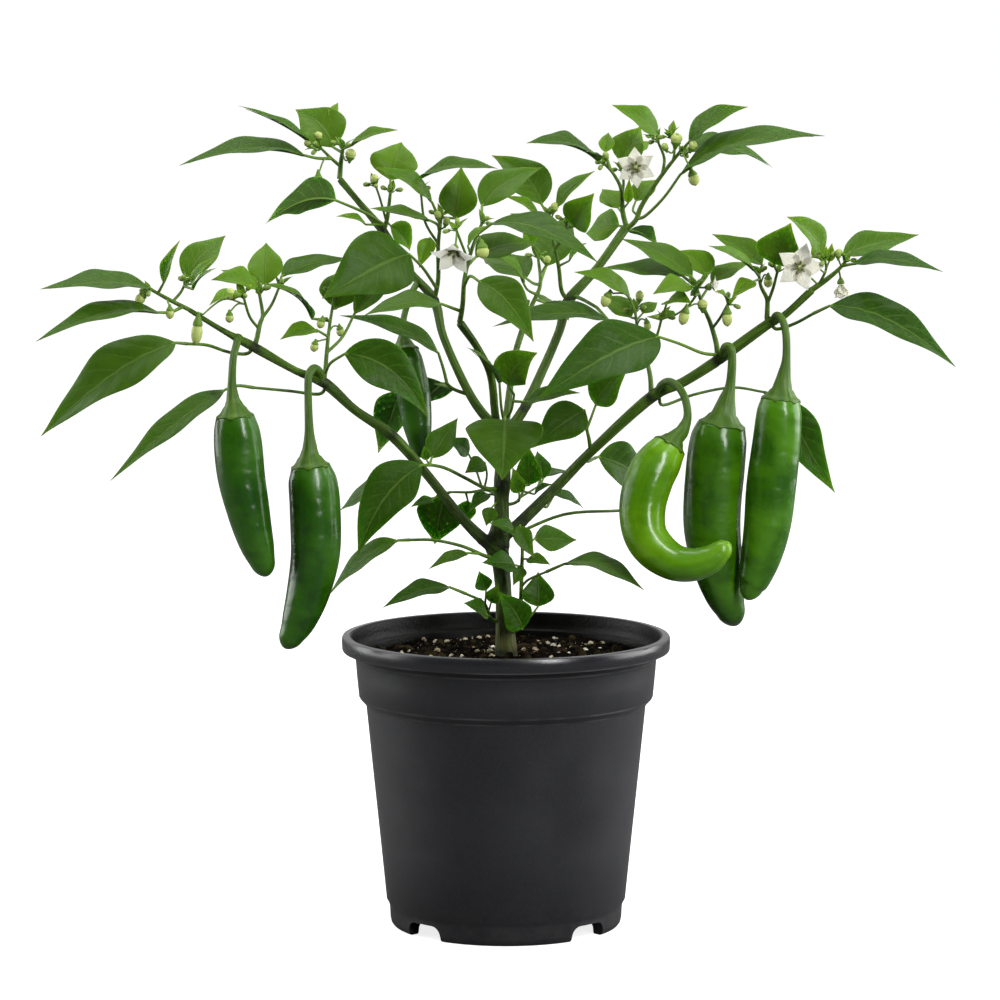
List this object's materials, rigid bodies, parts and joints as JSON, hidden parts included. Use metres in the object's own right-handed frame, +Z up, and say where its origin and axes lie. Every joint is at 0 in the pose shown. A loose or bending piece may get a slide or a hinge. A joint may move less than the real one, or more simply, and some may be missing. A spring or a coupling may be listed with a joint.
{
  "type": "potted chilli pepper plant",
  "caption": "Potted chilli pepper plant: a forked green stem with leafy shoots, star flowers and hanging glossy pods, standing in a round nursery pot of soil.",
  "frame": {"origin": "centre of the plant's bounding box, at the level of the surface that the pot's feet stand on", "axes": "+Z up; +X across the plant's wide side, to the right for an eye in front of it; +Y away from that eye"},
  "size_m": [0.4376, 0.2128, 0.4093],
  "materials": {
    "pot_plastic": "matte charcoal moulded plastic",
    "potting_mix": "dark crumbly potting mix with pale perlite",
    "woody_stem": "green stem with dark knots, brown-green at its foot",
    "leafy_shoots": "satin mid-green leaves with paler veins and undersides",
    "pod_skin": "glossy waxy green skin",
    "pod_stalk": "satin light-green stalk and cap",
    "petals": "soft matte white petals",
    "anthers": "matte olive-yellow anthers"
  },
  "bodies": {
    "root": {"flower_drooping": "petals", "flower_hanging": "petals", "flower_right": "petals", "flower_small_right": "petals", "flower_upper_right": "petals", "leaf_behind_pods": "leafy_shoots", "leaf_behind_right_bough": "leafy_shoots", "leaf_left_large": "leafy_shoots", "leaf_left_low": "leafy_shoots", "leaf_low_right": "leafy_shoots", "leaf_right_large": "leafy_shoots", "leaf_under_right_bough": "leafy_shoots", "leaf_upper_right_bough": "leafy_shoots", "leaves_behind_upper_right": "leafy_shoots", "leaves_fork": "leafy_shoots", "leaves_left_of_trunk": "leafy_shoots", "leaves_right_bough": "leafy_shoots", "leaves_trunk_foot_left": "leafy_shoots", "leaves_trunk_left_low": "leafy_shoots", "leaves_upper_left_bough": "leafy_shoots", "main_stem": "woody_stem", "pod_behind_leaf": "pod_skin", "pod_curved": "pod_skin", "pod_far_left": "pod_skin", "pod_far_right": "pod_skin", "pod_left": "pod_skin", "pod_middle_right": "pod_skin", "pot": "pot_plastic", "shoot_back": "leafy_shoots", "shoot_centre": "leafy_shoots", "shoot_centre_left": "leafy_shoots", "shoot_centre_right": "leafy_shoots", "shoot_left_inner": "leafy_shoots", "shoot_left_outer": "leafy_shoots", "shoot_left_tip": "leafy_shoots", "shoot_right_low": "leafy_shoots", "shoot_right_middle": "leafy_shoots", "shoot_right_outer": "leafy_shoots", "shoot_right_tip": "leafy_shoots", "shoot_right_top": "leafy_shoots", "shoot_top_left_tip": "leafy_shoots", "shoot_trunk_foot_right": "leafy_shoots", "shoot_trunk_left": "leafy_shoots", "shoot_trunk_right": "leafy_shoots", "shoot_upper_left": "leafy_shoots", "shoot_upper_right": "leafy_shoots", "soil": "potting_mix", "stalk_behind_leaf": "pod_stalk", "stalk_curved": "pod_stalk", "stalk_far_left": "pod_stalk", "stalk_far_right": "pod_stalk", "stalk_left": "pod_stalk", "stalk_middle_right": "pod_stalk", "stamens_right": "anthers", "stamens_upper_right": "anthers"}
  },
  "joints": []
}
